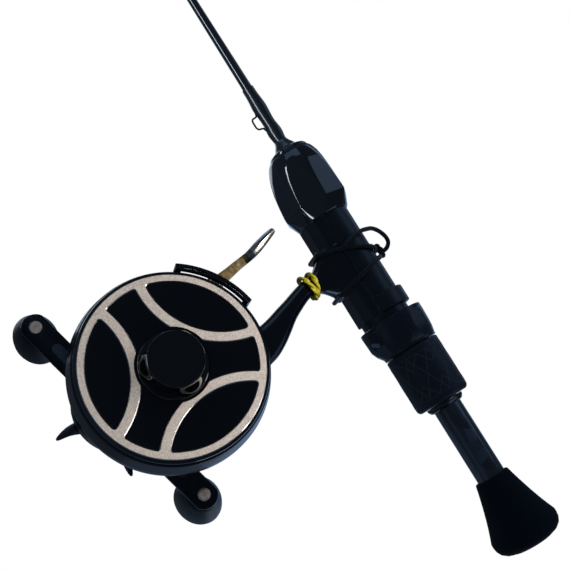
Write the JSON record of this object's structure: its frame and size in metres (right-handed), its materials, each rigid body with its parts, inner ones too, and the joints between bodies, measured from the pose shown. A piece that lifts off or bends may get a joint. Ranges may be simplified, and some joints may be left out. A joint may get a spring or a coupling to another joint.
{
  "type": "ice fishing rod with inline reel",
  "caption": "Short ice-fishing rod with an inline reel tied under its seat; the crank turns the spool, the lever frees it, and the rear lock closes the hood.",
  "frame": {"origin": "on the rod axis, halfway along the bare rear tube, where a rod holder grips it", "axes": "-X to the rod tip, +X to the butt, +Z away from the reel, -Y out of the decorated spool face; the crank is on +Y"},
  "size_m": [0.6106, 0.0788, 0.1652],
  "materials": {
    "gloss_black": "gloss",
    "satin_black": "satin soft touch",
    "soft_knob": "soft touch",
    "carbon_blank": "clear-coated carbon fibre",
    "forged_tube": "clear-coated marbled carbon",
    "thread_wrap": "thread under epoxy",
    "guide_metal": "black nickel",
    "guide_ceramic": "polished ceramic",
    "grip_rubber": "embossed",
    "butt_foam": "matte EVA foam",
    "elastic": "braided shock cord",
    "band_yellow": "matte",
    "frame_alu": "satin black anodised",
    "trim_metal": "brushed champagne",
    "spool_alu": "black anodised",
    "steel": "polished",
    "screw_metal": "brushed",
    "gear_brass": "machined",
    "line": "clear nylon",
    "drag_fibre": "matte",
    "crank_alu": "black anodised",
    "star_black": "gloss black"
  },
  "bodies": {
    "rod": {"rod_blank": "carbon_blank", "tip_top": "guide_metal", "tip_ring": "guide_ceramic", "guide_1": "guide_metal", "guide_2": "guide_metal", "guide_3": "guide_metal", "guide_4": "guide_metal", "guide_ring_1": "guide_ceramic", "guide_ring_2": "guide_ceramic", "guide_ring_3": "guide_ceramic", "guide_ring_4": "guide_ceramic", "guide_wraps": "thread_wrap", "keeper_wrap": "thread_wrap", "hook_keeper": "guide_metal", "winding_check": "gloss_black", "front_barrel": "gloss_black", "reel_seat": "satin_black", "slide_stop": "satin_black", "rear_tube": "forged_tube", "foam_butt": "butt_foam", "foot_wrap_front": "elastic", "foot_wrap_rear": "elastic", "wrap_loop": "elastic", "wrap_bead": "gloss_black", "stem_band": "band_yellow", "reel_frame": "frame_alu", "line_guard": "frame_alu", "gear_housing": "frame_alu", "rear_cover": "frame_alu", "cover_screws": "screw_metal", "spool_bearing_front": "steel", "spool_bearing_rear": "steel", "drive_bushing": "gear_brass", "trigger_pin": "steel", "trigger_spring": "steel"},
    "hood": {"rear_hood": "satin_black"},
    "lock": {"lock_nut": "guide_metal", "grip_sleeve": "grip_rubber", "grip_end_ring": "steel"},
    "spool": {"spool": "spool_alu", "spool_trim": "trim_metal", "spool_line": "line", "spool_shaft": "steel", "pinion": "gear_brass", "knob_collar": "gloss_black", "knob_spring": "steel"},
    "knob": {"face_knob": "gloss_black"},
    "crank": {"main_gear": "gear_brass", "drive_shaft": "steel", "drag_washers": "drag_fibre", "handle_spacer": "screw_metal", "crank_arm": "crank_alu", "handle_nut": "steel", "crank_screw_1": "screw_metal", "crank_screw_2": "screw_metal"},
    "star": {"star_drag": "star_black", "drag_spring": "steel"},
    "grip_a": {"crank_knob_1": "soft_knob"},
    "grip_b": {"crank_knob_2": "soft_knob"},
    "lever": {"trigger": "steel"}
  },
  "joints": [
    {"name": "crank_spin", "type": "hinge", "parent": "rod", "child": "crank", "pos_m": [-0.0865, 0, -0.1174], "axis": [0, -1, 0], "continuous": true},
    {"name": "spool_spin", "type": "hinge", "parent": "rod", "child": "spool", "pos_m": [-0.0865, 0, -0.0958], "axis": [0, -1, 0], "continuous": true},
    {"name": "knob_turn", "type": "hinge", "parent": "spool", "child": "knob", "pos_m": [-0.0865, 0, -0.0958], "axis": [0, -1, 0], "range_deg": [0, 240]},
    {"name": "star_turn", "type": "hinge", "parent": "crank", "child": "star", "pos_m": [-0.0865, 0, -0.1174], "axis": [0, -1, 0], "range_deg": [-180, 180]},
    {"name": "grip_a_spin", "type": "hinge", "parent": "crank", "child": "grip_a", "pos_m": [-0.13466, 0.03, -0.13085], "axis": [0, -1, 0], "continuous": true},
    {"name": "grip_b_spin", "type": "hinge", "parent": "crank", "child": "grip_b", "pos_m": [-0.03834, 0.03, -0.10395], "axis": [0, -1, 0], "continuous": true},
    {"name": "trigger_pull", "type": "hinge", "parent": "rod", "child": "lever", "pos_m": [-0.1102, 0, -0.0612], "axis": [0, 1, 0], "range_deg": [0, 16], "stiffness_Nm_per_rad": 0.05, "springref_deg": -17.19},
    {"name": "hood_slide", "type": "slide", "parent": "rod", "child": "hood", "axis": [-1, 0, 0], "range_m": [0, 0.0022]},
    {"name": "lock_turn", "type": "hinge", "parent": "hood", "child": "lock", "pos_m": [-0.03, 0, 0], "axis": [-1, 0, 0], "range_deg": [0, 720]}
  ],
  "couplings": [
    {"joint": "spool_spin", "follows": "crank_spin", "ratio": -2.6},
    {"joint": "hood_slide", "follows": "lock_turn", "m_per_rad": 0.000175}
  ]
}
